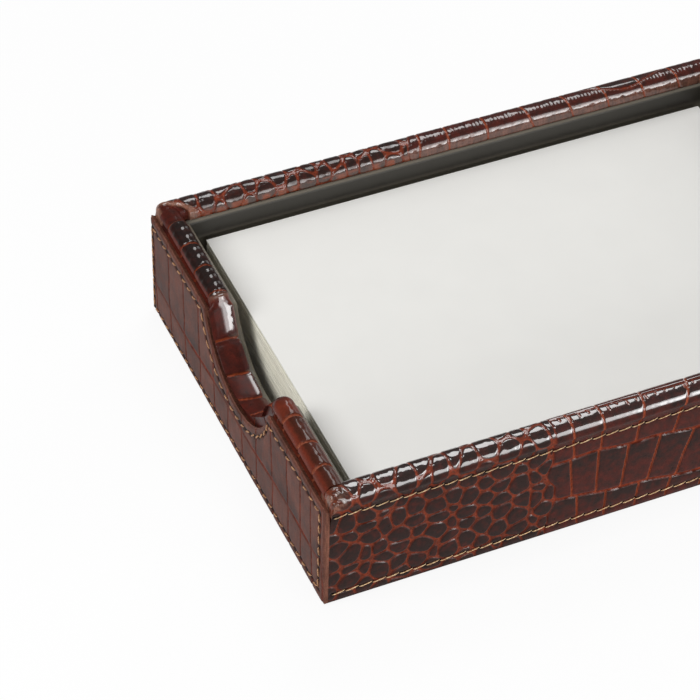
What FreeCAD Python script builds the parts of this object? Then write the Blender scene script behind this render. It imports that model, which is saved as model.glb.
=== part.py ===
import FreeCAD, Part
import math
import os

# Memo tray: an open leather-covered tray for 4 x 6 inch sheets, with a thumb notch in its left end.
# Millimetres. Origin under the middle of the tray, +X along its length (the notch is at -X),
# +Y towards the back, +Z up.

V = FreeCAD.Vector

# Overall sizes of the tray, without the raised thread
LENGTH = 178.0
DEPTH = 119.4
HEIGHT = 39.0

# Sheets
SHEET_LENGTH = 152.4
SHEET_DEPTH = 101.6
SHEET_TOP = 28.55
SHEET_T = 0.2

# Floor: felt under everything, a board between the walls, and lining on it
FELT_T = 0.6
FELT_INSET = 1.0
BASE_T = 3.0
FLOOR_T = 0.8

# Walls: a stiff board wrapped in leather
WALL_T = 5.0
END_WALL_T = 5.6
LEATHER_T = 1.2
WALL_BOTTOM = FELT_T

# Rims: a filled roll along the front and back walls, wider than the wall under it and rounded down at
# its ends, and a half-round top on the end walls
ROLL_R = 3.4
ROLL_END_R = 2.4
END_RIM_R = 2.75

# Ends of the front and back covers, turned round the corners and let into the end walls
FLAP_T = 0.6
FLAP_REACH = 14.0
FLAP_TOP = 30.6

# How far the end walls' rims lap onto the round shoulders of the front and back rims
RIM_LAP = 1.2

# Thumb notch in the left end: the rim's crest line with its two top corners, and the panel's edge
NOTCH_Y = -1.5
NOTCH_Z = 40.1
NOTCH_R = 19.8
NOTCH_CORNER_R = 3.0
PANEL_NOTCH_R = 22.3
PANEL_CORNER_R = 1.5

# End panels
PANEL_T = 1.5
PANEL_TOP = 34.5
PANEL_BEVEL = 0.4

# Lining panels inside the walls
LINING_T = 1.9
LINING_TOP = 34.2
LINING_EDGE_R = 0.9
LINING_NOTCH_R = NOTCH_R + LEATHER_T
LINING_CORNER_R = 2.0

# Seams
STITCH_PITCH = 3.75
STITCH_FILL = 0.76
STITCH_W = 0.55
STITCH_RISE = 0.35
STITCH_SLANT = 0.3
FACE_SEAM_HIGH = 31.6
FACE_SEAM_LOW = 3.4
FACE_SEAM_END = 1.0
PANEL_SEAM_INSET = 3.0
PANEL_SEAM_INSET_BACK = 1.5
NOTCH_SEAM_Z = 38.1
NOTCH_SEAM_R = 24.3

# Planes worked out from the sizes above
END_X = LENGTH / 2
FACE_Y = DEPTH / 2
PANEL_X = END_X - PANEL_T
INNER_X = PANEL_X - END_WALL_T
INNER_Y = FACE_Y - WALL_T
ROLL_Z = HEIGHT - ROLL_R
LINING_X = INNER_X - LINING_T
LINING_Y = INNER_Y - LINING_T
BASE_TOP = FELT_T + BASE_T
FLOOR_TOP = BASE_TOP + FLOOR_T

TINY = 1e-6


def save(shape, name):
    """Write one node, a solid or a group of separate solids."""
    if not shape.isValid():
        raise ValueError(name + " is not a valid shape")
    shape.exportStep("parts/" + name + ".step")
    print(name, len(shape.Solids), "solid(s)", round(shape.Volume, 1), "mm3")


def box(low, high):
    size = V(*high) - V(*low)
    return Part.makeBox(size.x, size.y, size.z, V(*low))


def mirror_x(shape):
    return shape.mirror(V(0, 0, 0), V(1, 0, 0))


def mirror_y(shape):
    return shape.mirror(V(0, 0, 0), V(0, 1, 0))


# Outlines in the plane x = 0, given by their Y and Z


def segment(start, end):
    return Part.LineSegment(V(0, *start), V(0, *end)).toShape()


def arc(centre_y, centre_z, radius, start, end):
    """Arc from one angle to another, in degrees from +Y towards +Z."""
    angles = [math.radians(a) for a in (start, (start + end) / 2, end)]
    points = [V(0, centre_y + radius * math.cos(a), centre_z + radius * math.sin(a)) for a in angles]
    return Part.Arc(*points).toShape()


def outline(pieces):
    """Closed face from edges in order, with straight edges put in between their ends."""
    edges = []
    for i, piece in enumerate(pieces):
        following = pieces[(i + 1) % len(pieces)]
        here = piece.valueAt(piece.LastParameter)
        there = following.valueAt(following.FirstParameter)
        edges.append(piece)
        if here.distanceToPoint(there) > TINY:
            edges.append(Part.LineSegment(here, there).toShape())
    return Part.Face(Part.Wire(edges))


def rolled_section(y0, y1, z0):
    """Section of a long wall, with the roll on its top."""
    lip = math.degrees(math.acos(WALL_T / 2 / ROLL_R))
    return outline([
        segment((y0, z0), (y1, z0)),
        arc((y0 + y1) / 2, ROLL_Z, ROLL_R, -lip, 180 + lip),
    ])


def round_topped(half, z0, z1, radius):
    """Outline with its two top corners rounded."""
    return outline([
        segment((-half, z0), (half, z0)),
        arc(half - radius, z1 - radius, radius, 0, 90),
        arc(-half + radius, z1 - radius, radius, 90, 180),
    ])


def plain_end(half, z0, z1):
    return outline([segment((-half, z0), (half, z0)), segment((half, z1), (-half, z1))])


def soft_notch_end(half, z0, z1, notch_r, corner_r):
    """End with a notch that swings out through a rounded corner to the level top on each side."""
    corner_z = z1 - corner_r
    reach = math.sqrt((notch_r + corner_r) ** 2 - (corner_z - NOTCH_Z) ** 2)
    turn = math.degrees(math.atan2(corner_z - NOTCH_Z, reach))
    return outline([
        segment((-half, z0), (half, z0)),
        segment((half, z0), (half, z1)),
        arc(NOTCH_Y + reach, corner_z, corner_r, 90, 180 + turn),
        arc(NOTCH_Y, NOTCH_Z, notch_r, turn, -180 - turn),
        arc(NOTCH_Y - reach, corner_z, corner_r, -turn, 90),
        segment((-half, z1), (-half, z0)),
    ])


def seam_outline(notched):
    """Line of an end panel's seam, which runs nearer the edge at the back, round a notch if there is one."""
    front = -FACE_Y + PANEL_SEAM_INSET
    back = FACE_Y - PANEL_SEAM_INSET_BACK
    front_low = WALL_BOTTOM + PANEL_SEAM_INSET
    back_low = WALL_BOTTOM + PANEL_SEAM_INSET_BACK
    top = PANEL_TOP - PANEL_SEAM_INSET
    sides = [segment((front, front_low), (back, back_low)), segment((back, back_low), (back, top))]
    if notched:
        turn = math.degrees(math.asin((top - NOTCH_SEAM_Z) / NOTCH_SEAM_R))
        sides.append(arc(NOTCH_Y, NOTCH_SEAM_Z, NOTCH_SEAM_R, turn, -180 - turn))
    return outline(sides + [segment((front, top), (front, front_low))])


# Solids raised from those outlines


def along_x(face, x0, x1):
    return face.translated(V(x0, 0, 0)).extrude(V(x1 - x0, 0, 0))


def rolled_bar(half_length, y0, y1):
    """Straight wall along X: a roll along its top, rounded down at both ends."""
    bar = along_x(rolled_section(y0, y1, WALL_BOTTOM), -half_length, half_length)
    side = round_topped(half_length, WALL_BOTTOM, HEIGHT, ROLL_END_R)
    side.rotate(V(0, 0, 0), V(0, 0, 1), -90)
    start = (y0 + y1) / 2 - ROLL_R
    return bar.common(side.translated(V(0, start, 0)).extrude(V(0, 2 * ROLL_R, 0)))


def edges_in_plane(solid, x, lowest):
    """Edges that lie in the plane at x and reach above a height, without upright straight ones."""
    found = []
    for edge in solid.Edges:
        bounds = edge.BoundBox
        in_plane = abs(bounds.XMin - x) < TINY and abs(bounds.XMax - x) < TINY
        upright = bounds.YLength < TINY
        if in_plane and not upright and bounds.ZMax > lowest:
            found.append(edge)
    return found


def rolled_end(face, x0, x1, radius):
    """End wall between two planes, with both long edges of its top line rounded, notch included."""
    wall = along_x(face, x0, x1)
    edges = edges_in_plane(wall, x0, FLOOR_TOP) + edges_in_plane(wall, x1, FLOOR_TOP)
    return wall.makeFillet(radius, edges)


def wrapped_end(wall_face, board_face):
    """Left end wall's leather and its square-cut board, fitted to the front and back walls."""
    wall = rolled_end(wall_face, -PANEL_X, -INNER_X, END_RIM_R)
    board = along_x(board_face, -PANEL_X + LEATHER_T, -INNER_X - LEATHER_T)
    for neighbour in (front_wall, mirror_y(front_wall)):
        wall = wall.cut(neighbour)
    return wall.cut(board), board


def stitch(start, end, out):
    """One slanted stitch that lies on the leather between two needle holes."""
    middle = (start + end) * 0.5
    run = (end - start).normalize()
    side = out.cross(run)
    half_run = run * (start.distanceToPoint(end) * STITCH_FILL / 2)
    half_width = side * (STITCH_W / 2)
    lean = side * (STITCH_SLANT / 2)
    corners = [
        middle - half_run - lean - half_width,
        middle + half_run + lean - half_width,
        middle + half_run + lean + half_width,
        middle - half_run - lean + half_width,
    ]
    face = Part.Face(Part.makePolygon(corners + corners[:1]))
    return face.extrude(out * STITCH_RISE)


def seam(edges, out):
    """Row of stitches along each edge, a whole number of them on every one."""
    stitches = []
    for edge in edges:
        count = round(edge.Length / STITCH_PITCH)
        holes = edge.discretize(count + 1)
        stitches += [stitch(a, b, out) for a, b in zip(holes, holes[1:])]
    return Part.makeCompound(stitches)


def face_seam(z):
    """Seam along the front wall's outer face."""
    reach = PANEL_X - FACE_SEAM_END
    line = Part.LineSegment(V(-reach, -FACE_Y, z), V(reach, -FACE_Y, z)).toShape()
    return seam([line], V(0, -1, 0))


def end_panel(face):
    """Flat leather panel on the left end, with the edge of its outer face bevelled."""
    panel = along_x(face, -END_X, -PANEL_X)
    rim = [e for e in panel.Edges if e.BoundBox.XMax < -END_X + TINY]
    return panel.makeChamfer(PANEL_BEVEL, rim)


def end_seam(face):
    return seam(face.translated(V(-END_X, 0, 0)).OuterWire.Edges, V(-1, 0, 0))


def end_lining(face):
    """Lining panel inside the left end, with its inner top edge rounded."""
    panel = along_x(face, -INNER_X, -LINING_X)
    return panel.makeFillet(LINING_EDGE_R, edges_in_plane(panel, -LINING_X, FLOOR_TOP))


os.makedirs("parts", exist_ok=True)

# Floor
felt_x = END_X - FELT_INSET
felt_y = FACE_Y - FELT_INSET
save(box((-felt_x, -felt_y, 0), (felt_x, felt_y, FELT_T)), "base_felt")
save(box((-INNER_X, -INNER_Y, FELT_T), (INNER_X, INNER_Y, BASE_TOP)), "base_board")
save(box((-LINING_X, -LINING_Y, BASE_TOP), (LINING_X, LINING_Y, FLOOR_TOP)), "floor_lining")

# Front and back walls
flap = box((-PANEL_X, -INNER_Y, WALL_BOTTOM), (-PANEL_X + FLAP_T, -INNER_Y + FLAP_REACH, FLAP_TOP))
front_wall = rolled_bar(PANEL_X, -FACE_Y, -INNER_Y).fuse([flap, mirror_x(flap)]).removeSplitter()
front_board = box(
    (-PANEL_X + LEATHER_T, -FACE_Y + LEATHER_T, WALL_BOTTOM),
    (PANEL_X - LEATHER_T, -INNER_Y - LEATHER_T, ROLL_Z),
)
front_cover = front_wall.cut(front_board)
save(front_board, "front_wall_board")
save(front_cover, "front_wall_cover")
save(mirror_y(front_board), "back_wall_board")
save(mirror_y(front_cover), "back_wall_cover")

# Left wall, with the notch, and right wall, without one
lap_half = INNER_Y + RIM_LAP
board_top = HEIGHT - END_RIM_R
left_cover, left_board = wrapped_end(
    soft_notch_end(lap_half, WALL_BOTTOM, HEIGHT, NOTCH_R, NOTCH_CORNER_R),
    soft_notch_end(INNER_Y, WALL_BOTTOM, board_top, NOTCH_R + END_RIM_R, NOTCH_CORNER_R - END_RIM_R),
)
plain_cover, plain_board = wrapped_end(
    plain_end(lap_half, WALL_BOTTOM, HEIGHT),
    plain_end(INNER_Y, WALL_BOTTOM, board_top),
)
save(left_board, "left_wall_board")
save(left_cover, "left_wall_cover")
save(mirror_x(plain_board), "right_wall_board")
save(mirror_x(plain_cover), "right_wall_cover")

# End panels
notched_panel = soft_notch_end(FACE_Y, WALL_BOTTOM, PANEL_TOP, PANEL_NOTCH_R, PANEL_CORNER_R)
save(end_panel(notched_panel), "left_end_panel")
save(mirror_x(end_panel(plain_end(FACE_Y, WALL_BOTTOM, PANEL_TOP))), "right_end_panel")

# Lining, tucked under the rolls of the front and back walls
front_lining = along_x(
    outline([
        segment((-INNER_Y, BASE_TOP), (-LINING_Y, BASE_TOP)),
        arc(-LINING_Y - LINING_EDGE_R, LINING_TOP - LINING_EDGE_R, LINING_EDGE_R, 0, 90),
        segment((-INNER_Y, LINING_TOP), (-INNER_Y, BASE_TOP)),
    ]),
    -INNER_X,
    INNER_X,
).cut(front_wall)
save(front_lining, "front_lining")
save(mirror_y(front_lining), "back_lining")
notched_lining = soft_notch_end(LINING_Y, BASE_TOP, LINING_TOP, LINING_NOTCH_R, LINING_CORNER_R)
save(end_lining(notched_lining), "left_lining")
save(mirror_x(end_lining(plain_end(LINING_Y, BASE_TOP, LINING_TOP))), "right_lining")

# Seams
for height_name, seam_z in (("upper", FACE_SEAM_HIGH), ("lower", FACE_SEAM_LOW)):
    row = face_seam(seam_z)
    save(row, "front_" + height_name + "_stitches")
    save(mirror_y(row), "back_" + height_name + "_stitches")
save(end_seam(seam_outline(True)), "left_panel_stitches")
save(mirror_x(end_seam(seam_outline(False))), "right_panel_stitches")

# Sheets
sheet_x = SHEET_LENGTH / 2
sheet_y = SHEET_DEPTH / 2
stack_top = SHEET_TOP - SHEET_T
save(box((-sheet_x, -sheet_y, FLOOR_TOP), (sheet_x, sheet_y, stack_top)), "memo_stack")
save(box((-sheet_x, -sheet_y, stack_top), (sheet_x, sheet_y, SHEET_TOP)), "top_sheet")
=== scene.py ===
import math
from types import SimpleNamespace

import bpy
import numpy as np
from mathutils import Matrix, Vector


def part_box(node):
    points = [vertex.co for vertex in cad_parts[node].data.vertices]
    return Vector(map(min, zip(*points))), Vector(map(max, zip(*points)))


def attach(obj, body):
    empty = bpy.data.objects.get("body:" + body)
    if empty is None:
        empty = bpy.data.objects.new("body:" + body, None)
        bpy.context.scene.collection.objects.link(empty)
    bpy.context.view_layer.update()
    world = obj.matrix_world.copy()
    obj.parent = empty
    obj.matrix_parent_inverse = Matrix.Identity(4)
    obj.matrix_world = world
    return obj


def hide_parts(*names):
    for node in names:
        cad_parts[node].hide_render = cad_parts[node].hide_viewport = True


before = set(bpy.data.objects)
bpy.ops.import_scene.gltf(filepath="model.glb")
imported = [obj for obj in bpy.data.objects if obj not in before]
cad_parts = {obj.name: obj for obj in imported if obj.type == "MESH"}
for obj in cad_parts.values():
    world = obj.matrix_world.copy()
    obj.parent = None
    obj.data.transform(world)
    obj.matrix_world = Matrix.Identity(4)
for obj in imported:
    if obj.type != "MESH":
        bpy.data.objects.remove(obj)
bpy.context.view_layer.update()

# Looks of a memo tray covered in embossed leather. Shapes are worked out in millimetres and written in
# metres, in the frame of the solids: +X along the tray's length, +Y towards the back, +Z up.
MM = 0.001


def node_box(node):
    """Lowest and highest corner of a solid, in millimetres."""
    low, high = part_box(node)
    return np.array(low) / MM, np.array(high) / MM


# Places of the solids
front_low, front_high = node_box("front_wall_cover")
side_low, side_high = node_box("left_wall_cover")
panel_low, panel_high = node_box("left_end_panel")
lining_low, _ = node_box("front_lining")
stack_low, stack_high = node_box("memo_stack")
sheet_low, sheet_high = node_box("top_sheet")
END_X = -panel_low[0]
PANEL_X = front_high[0]
WALL_X = -side_low[0]
INNER_X = -side_high[0]
FACE_Y = panel_high[1]
INNER_Y = -lining_low[1]
LAP_Y = side_high[1]
WALL_BOTTOM = front_low[2]
HEIGHT = front_high[2]
PANEL_TOP = panel_high[2]
WALL_T = FACE_Y - INNER_Y
END_WALL_T = WALL_X - INNER_X

# Rims: a filled roll along the front and back walls, drawn in over the seam below it, and a half-round
# top on the end walls
ROLL_PROUD = -front_low[1] - FACE_Y
ROLL_R = WALL_T / 2 + ROLL_PROUD
ROLL_Z = HEIGHT - ROLL_R
ROLL_END_R = 2.4
DRAWN_R = 1.6
END_RIM_R = 2.75

# Thumb notch in the left end: the rim's crest line with its two top corners, and the panel's edge
NOTCH_Y = -1.5
NOTCH_Z = 40.1
NOTCH_R = 19.8
NOTCH_CORNER_R = 3.0
PANEL_NOTCH_R = 22.3
PANEL_CORNER_R = 0.7

# Seams: heights on the long walls, the share of its pitch that a stitch fills and its width, and distances
# from the edges and round the notch
SEAM_LEVELS = ("upper", "lower")
SEAM_HEIGHTS = [sum(end[2] for end in node_box("front_" + level + "_stitches")) / 2 for level in SEAM_LEVELS]
STITCH_PITCH = 3.75
FACE_STITCH = (0.84, 0.31)
PANEL_STITCH = (0.54, 0.5)
STITCH_RISE = 0.35
STITCH_SLANT = 0.3
FACE_SEAM_END = 1.0
PANEL_SEAM_INSET = 3.0
PANEL_SEAM_INSET_BACK = 1.5
NOTCH_SEAM_Y = -0.7
NOTCH_SEAM_Z = 38.1
NOTCH_SEAM_R = 23.8

# Fineness of the embossed meshes
STEP = 0.26


# Small helpers

def spaced(start, end, step):
    """Numbers from start to end, about a step apart."""
    return np.linspace(start, end, max(2, round(abs(end - start) / step) + 1))


def smooth(t):
    """Soft step from 0 to 1."""
    t = np.clip(t, 0.0, 1.0)
    return t * t * (3.0 - 2.0 * t)


def ramp(value, start, width):
    """Soft step from 0 to 1, up from a start."""
    return smooth((value - start) / width)


def fade(value, end, width):
    """Soft step from 1 to 0, down to an end."""
    return smooth((end - value) / width)


def soft_least(sharpness, *distances):
    """Least of several distances, rounded where two of them meet."""
    total = sum(np.exp(-sharpness * d) for d in distances)
    return -np.log(total) / sharpness


NOISE_TABLE = 64


def soft_noise(u, v, size, seed):
    """Smooth noise from -1 to 1 over a plane, with features of about that size."""
    lattice = np.random.default_rng(seed).uniform(-1.0, 1.0, (NOISE_TABLE, NOISE_TABLE))
    column, row = np.floor(u / size).astype(int), np.floor(v / size).astype(int)
    s, t = smooth(u / size - column), smooth(v / size - row)

    def corner(i, j):
        return lattice[(row + j) % NOISE_TABLE, (column + i) % NOISE_TABLE]

    low = corner(0, 0) * (1 - s) + corner(1, 0) * s
    high = corner(0, 1) * (1 - s) + corner(1, 1) * s
    return low * (1 - t) + high * t


# Meshes

def make_piece(name, points, faces, material, slot, body="tray", values=None, sharp=50.0):
    """One object of the tray, from points in millimetres, that stands for the solid of the same name."""
    mesh = bpy.data.meshes.new(name)
    mesh.from_pydata((np.asarray(points) * MM).tolist(), [], faces)
    mesh.shade_smooth()
    mesh.set_sharp_from_angle(angle=math.radians(sharp))
    for key, numbers in (values or {}).items():
        attribute = mesh.attributes.new(key, "FLOAT", "POINT")
        attribute.data.foreach_set("value", np.asarray(numbers, dtype=np.float32).ravel())
    mesh.materials.append(material)
    thing = bpy.data.objects.new(name, mesh)
    bpy.context.collection.objects.link(thing)
    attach(thing, body)
    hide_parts(name)


def loft(rings):
    """Points and faces of a closed tube through rings of points, facing out. A fan closes each end."""
    count, around = rings.shape[:2]
    ids = np.arange(count * around).reshape(count, around)
    here, there = ids[:-1], ids[1:]
    quads = np.stack([here, np.roll(here, -1, 1), np.roll(there, -1, 1), there], axis=-1).reshape(-1, 4)
    first, last = ids[0], ids[-1]
    start = np.stack([np.full(around, count * around), np.roll(first, -1), first], axis=-1)
    end = np.stack([np.full(around, count * around + 1), last, np.roll(last, -1)], axis=-1)
    fans = np.concatenate([start, end])
    points = np.concatenate([rings.reshape(-1, 3), rings[[0, -1]].mean(axis=1)])
    triangles = np.concatenate([quads[:, [0, 1, 2]], quads[:, [0, 2, 3]], fans])
    a, b, c = (points[triangles[:, k]] for k in range(3))
    if np.einsum("ij,ij->i", a, np.cross(b, c)).sum() < 0:
        quads, fans = quads[:, ::-1], fans[:, ::-1]
    return points, quads.tolist() + fans.tolist()


def with_ends(field):
    """Numbers at a tube's points, carried on to the middle points of its end fans."""
    return np.concatenate([field.ravel(), [field[0].mean(), field[-1].mean()]])


# Embossed scales. Each pattern gives the distance to the nearest groove and a number for every scale.

# Pebbles: mean size, unevenness of place and size, share of small ones, roundness, and size of the tiny ones
# in the gaps. Belly scales: roundness, and slope at the foot and head of a row. Last, the steps between the
# numbers of neighbouring scales.
PEBBLE_LENGTH = 5.3
PEBBLE_HEIGHT = 6.1
PEBBLE_JITTER = 0.5
PEBBLE_SPREAD = 13.0
SMALL_SHARE = 0.25
PEBBLE_ROUND = 2.1
FILLER_SIZE = 0.36
BELLY_ROUND = 4.0
ROW_FOOT = 0.45
ROW_HEAD = 1.5
NUMBER_STEP, PEBBLE_ROW_STEP, BELLY_ROW_STEP = 0.37, 0.61, 0.23
TABLE = 128


def pebbles(u, v, seed):
    """Small rounded scales of mixed sizes, packed in uneven columns."""
    draws = np.random.default_rng(seed).random((3, TABLE, TABLE))
    row, column = np.floor(v / PEBBLE_HEIGHT).astype(int), np.floor(u / PEBBLE_LENGTH).astype(int)
    reach = range(-2, 3)
    spots = []
    for j in (row + k for k in reach):
        for i in (column + k for k in reach):
            along, across, size = draws[:, j % TABLE, i % TABLE]
            centre_u = (i + 0.5 + PEBBLE_JITTER * (along - 0.5)) * PEBBLE_LENGTH
            centre_v = (j + 0.5 * (i % 2) + PEBBLE_JITTER * (across - 0.5)) * PEBBLE_HEIGHT
            weight = PEBBLE_SPREAD * np.where(size > SMALL_SHARE, 0.5 + 0.5 * size, 0.0)
            power = (u - centre_u) ** 2 + (v - centre_v) ** 2 - weight
            spots.append((centre_u, centre_v, power, (i * NUMBER_STEP + j * PEBBLE_ROW_STEP) % 1.0))
    centre_u, centre_v, power, number = (np.stack(part) for part in zip(*spots))
    nearest = np.argmin(power, axis=0)[None]
    own_u, own_v, own_power, own_number = (
        np.take_along_axis(part, nearest, 0) for part in (centre_u, centre_v, power, number)
    )
    apart = np.hypot(centre_u - own_u, centre_v - own_v)
    border = np.where(apart > 0, (power - own_power) / (2 * np.maximum(apart, 1e-6)), 1e3)
    edge = -np.log(np.exp(-PEBBLE_ROUND * border).sum(axis=0)) / PEBBLE_ROUND
    return edge, own_number[0]


def groove_places(start, end, gaps, seed):
    """Places of grooves across a row: the given gaps, then the last of them again, all a little varied."""
    draws = np.random.default_rng(seed)
    places = [start]
    while places[-1] < end:
        gap = gaps[min(len(places), len(gaps)) - 1]
        places.append(places[-1] + gap * draws.uniform(0.96, 1.04))
    return np.array(places)


def between_grooves(places, at):
    """The number of the next groove, and the distances from the one before it and to it."""
    index = np.clip(np.searchsorted(places, at), 1, len(places) - 1)
    return index, at - places[index - 1], places[index] - at


def filled_pebbles(u, v, seed):
    """Pebbles, and how much of a tiny scale fills the gap where several of them meet."""
    edge, number = pebbles(u, v, seed)
    tiny, _ = pebbles(u / FILLER_SIZE, v / FILLER_SIZE, seed + 100)
    filler = fade(edge, 0.1, 0.3) * smooth(FILLER_SIZE * tiny / 0.3)
    return edge, number, filler


def belly(u, v, lines, rows, lean):
    """Rows of upright scales between level grooves. lines gives the heights of those grooves at every
    point, from the lowest, and rows the places of the upright grooves of each row. The distance to the
    nearest of those comes last."""
    row = sum((v > line).astype(int) for line in lines) if lines else np.zeros(u.shape, int)
    upright = np.full(u.shape, 1e3)
    number = np.zeros(u.shape)
    for k, places in enumerate(rows):
        below = lines[k - 1] if k > 0 else lines[0] - 10.0 if lines else 0.0
        index, before, after = between_grooves(places, u - lean * (v - below - 6.0))
        upright = np.where(row == k, np.minimum(np.abs(before), np.abs(after)), upright)
        number = np.where(row == k, (index * NUMBER_STEP + k * BELLY_ROW_STEP) % 1.0, number)
    level = [np.where(v > line, ROW_FOOT * (v - line), ROW_HEAD * (line - v)) for line in lines]
    return soft_least(BELLY_ROUND, 1.4 * upright, *level), number, upright


def emboss(edge, half_width, depth, dome):
    """Height of the leather above its plain surface, and how deep in a groove each point lies."""
    groove = smooth(1.4 * (1.0 - edge / half_width))
    crown = 1.0 - np.exp(-np.maximum(edge, 0.0) / 1.2)
    return dome * crown - depth * groove, groove


# Seams

def straight_holes(start, end):
    """Needle holes of a straight seam, a whole number of stitches apart."""
    start, end = np.array(start, float), np.array(end, float)
    count = round(np.linalg.norm(end - start) / STITCH_PITCH)
    return start + (end - start) * np.linspace(0, 1, count + 1)[:, None]


def notch_holes(x, top):
    """Needle holes along the notch, from the back to the front."""
    turn = math.asin((top - NOTCH_SEAM_Z) / NOTCH_SEAM_R)
    count = round((math.pi + 2 * turn) * NOTCH_SEAM_R / STITCH_PITCH)
    angles = np.linspace(turn, -math.pi - turn, count + 1)
    across, up = NOTCH_SEAM_R * np.cos(angles), NOTCH_SEAM_R * np.sin(angles)
    return np.stack([x + 0 * angles, NOTCH_SEAM_Y + across, NOTCH_SEAM_Z + up], axis=1)


def panel_seam(x, notched):
    """Needle holes round an end panel, as one row of holes for each side."""
    front, back = -FACE_Y + PANEL_SEAM_INSET, FACE_Y - PANEL_SEAM_INSET_BACK
    front_low, back_low = WALL_BOTTOM + PANEL_SEAM_INSET, WALL_BOTTOM + PANEL_SEAM_INSET_BACK
    top = PANEL_TOP - PANEL_SEAM_INSET
    sides = [
        straight_holes((x, front, front_low), (x, back, back_low)),
        straight_holes((x, back, back_low), (x, back, top)),
        straight_holes((x, front, top), (x, front, front_low)),
    ]
    if not notched:
        return sides + [straight_holes((x, back, top), (x, front, top))]
    arc = notch_holes(x, top)
    return sides + [straight_holes((x, back, top), arc[0]), arc, straight_holes(arc[-1], (x, front, top))]


def face_seam(side, z):
    """Needle holes along the front (-1) or back (1) face."""
    reach = PANEL_X - FACE_SEAM_END
    return [straight_holes((-reach, side * FACE_Y, z), (reach, side * FACE_Y, z))]


def stitches_of(rows):
    """Both holes of every stitch of a seam."""
    for holes in rows:
        yield from zip(holes[:-1], holes[1:])


# How far from a seam the thread pulls the leather down
PULL_REACH = 0.8


def hole_depth(points, rows, length, width):
    """How near each point is to a needle slot, from 0 to 1, and to the line of the seam."""
    darkening_and_painted_shade = np.zeros(points.shape[:-1])
    pull = np.zeros(points.shape[:-1])
    for start, end in stitches_of(rows):
        run = end - start
        along = np.clip(((points - start) @ run) / (run @ run), 0.0, 1.0)
        apart = np.linalg.norm(points - start - along[..., None] * run, axis=-1)
        pull = np.maximum(pull, np.exp(-(apart / PULL_REACH) ** 2))
        away = (points - start) @ run / np.linalg.norm(run)
        aside2 = np.maximum(((points - start) ** 2).sum(axis=-1) - away ** 2, 0.0)
        slot = np.exp(-(away / length) ** 2 - aside2 / width ** 2)
        darkening_and_painted_shade = np.maximum(darkening_and_painted_shade, np.minimum(1.5 * slot, 1.0))
    return darkening_and_painted_shade, pull


# Thread: rings along a stitch and points round it, reach into the holes, depth and twist of its two plies,
# taper and flatness
THREAD_RINGS, THREAD_SIDES = 13, 10
STITCH_REACH = 1.12
PLY_DEPTH, PLY_TWIST = 0.16, 7.0
STITCH_TAPER = 0.85
THREAD_FLAT = 0.8


def thread_mesh(rows, out, fill, width):
    """Points and faces of a seam's thread: one twisted two-ply stitch between each pair of holes."""
    out = np.array(out, float)
    along = np.linspace(-1, 1, THREAD_RINGS)
    angle = np.linspace(0, 2 * math.pi, THREAD_SIDES, endpoint=False)
    ply = 1.0 + PLY_DEPTH * np.cos(2 * angle[None] + PLY_TWIST * along[:, None])
    radius = width / 2 * ply * np.sqrt(1 - STITCH_TAPER * np.abs(along[:, None]) ** 3)
    lift = STITCH_RISE * (0.62 - 0.95 * along ** 4)
    points, faces = [], []
    for start, end in stitches_of(rows):
        run = end - start
        length = np.linalg.norm(run)
        run = run / length
        side = np.cross(out, run)
        reach = length * fill / 2 * STITCH_REACH
        spine = (start + end) / 2 + (along * reach)[:, None] * run
        spine = spine + (along * STITCH_SLANT)[:, None] * side + lift[:, None] * out * 0.5
        ring = spine[:, None] + radius[..., None] * (
            np.cos(angle)[None, :, None] * side + np.sin(angle)[None, :, None] * out * THREAD_FLAT
        )
        piece_points, piece_faces = loft(ring)
        shift = sum(len(p) for p in points)
        points.append(piece_points)
        faces += [[k + shift for k in face] for face in piece_faces]
    return np.concatenate(points), faces


# Materials

# Range in which most of a noise lies
NOISE_LOW, NOISE_HIGH = 0.3, 0.7


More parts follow.
